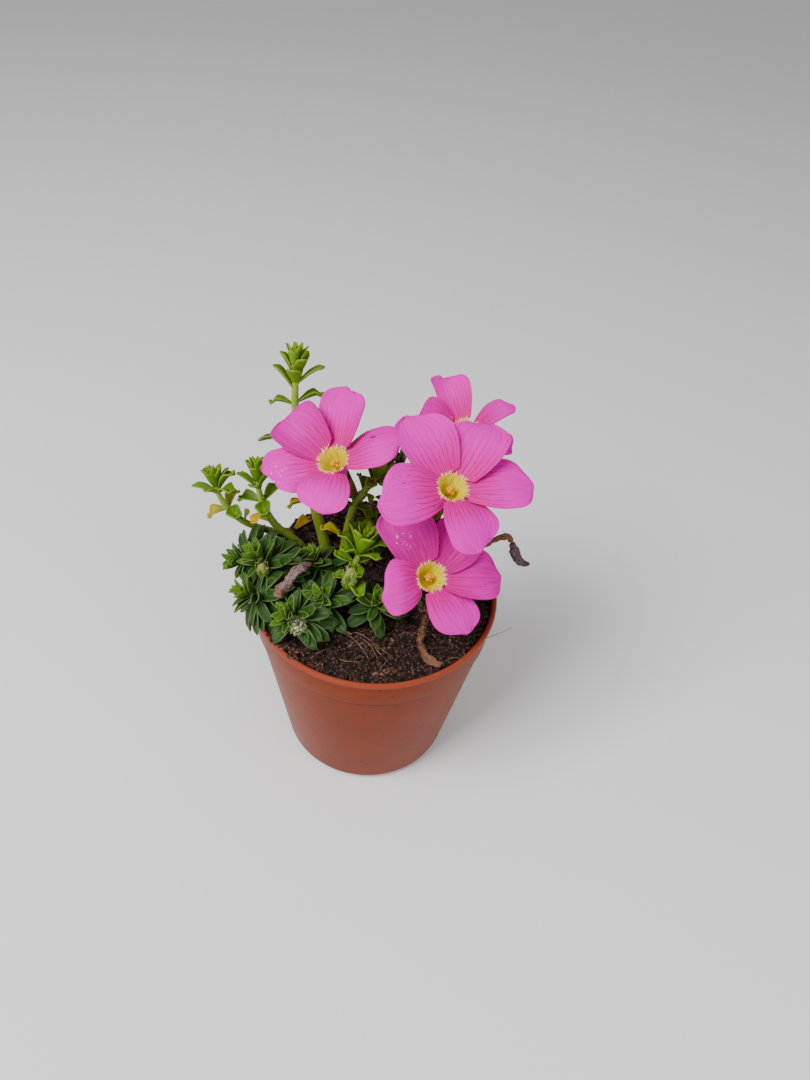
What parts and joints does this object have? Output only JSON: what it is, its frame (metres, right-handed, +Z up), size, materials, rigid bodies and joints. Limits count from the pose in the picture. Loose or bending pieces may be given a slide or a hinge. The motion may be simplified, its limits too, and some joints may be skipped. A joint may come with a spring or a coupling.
{
  "type": "potted pink wood sorrel",
  "caption": "Small flowering wood sorrel in a plastic nursery pot: upright shoots and low rosettes of narrow leaflets under open pink blooms with yellow throats.",
  "frame": {"origin": "middle of the pot's underside, on the surface it stands on", "axes": "+Z up, the pictured front at -Y, the tall shoot at the back left and three of the blooms to the right (+X)"},
  "size_m": [0.072, 0.0571, 0.0994],
  "materials": {
    "terracotta_plastic": "satin",
    "peat": "matte",
    "pink_petal": "satin",
    "golden_stamen": "matte",
    "fresh_green": "satin",
    "dark_green": "satin",
    "yellowed_leaf": "satin",
    "withered_brown": "matte",
    "withered_purple": "matte"
  },
  "bodies": {
    "root": {"bloom_1_petals": "pink_petal", "bloom_1_stamens": "golden_stamen", "bloom_2_petals": "pink_petal", "bloom_2_stamens": "golden_stamen", "bloom_3_petals": "pink_petal", "bloom_3_stamens": "golden_stamen", "bloom_4_petals": "pink_petal", "bloom_4_stamens": "golden_stamen", "dry_stalk_front": "withered_brown", "faded_leaf_back_left": "yellowed_leaf", "faded_leaf_far_left": "yellowed_leaf", "faded_leaf_left": "yellowed_leaf", "faded_leaf_middle": "yellowed_leaf", "fallen_leaf": "yellowed_leaf", "pot": "terracotta_plastic", "rosette_behind": "dark_green", "rosette_centre": "dark_green", "rosette_front": "dark_green", "rosette_front_left": "dark_green", "rosette_inner": "dark_green", "rosette_left": "dark_green", "rosette_low_left": "dark_green", "rosette_outer_left": "dark_green", "shoot_back_left": "fresh_green", "shoot_far_left": "fresh_green", "shoot_front": "fresh_green", "shoot_left": "fresh_green", "shoot_middle": "fresh_green", "soil": "peat", "spent_bloom_left": "withered_brown", "spent_bloom_middle": "withered_purple", "stem_back_right": "dark_green", "stem_low_right": "dark_green", "stem_right": "dark_green", "stem_tall_dark": "dark_green", "withered_bloom_right": "withered_purple", "withered_leaf_back_left": "withered_brown", "withered_stalk_right": "withered_brown"}
  },
  "joints": []
}
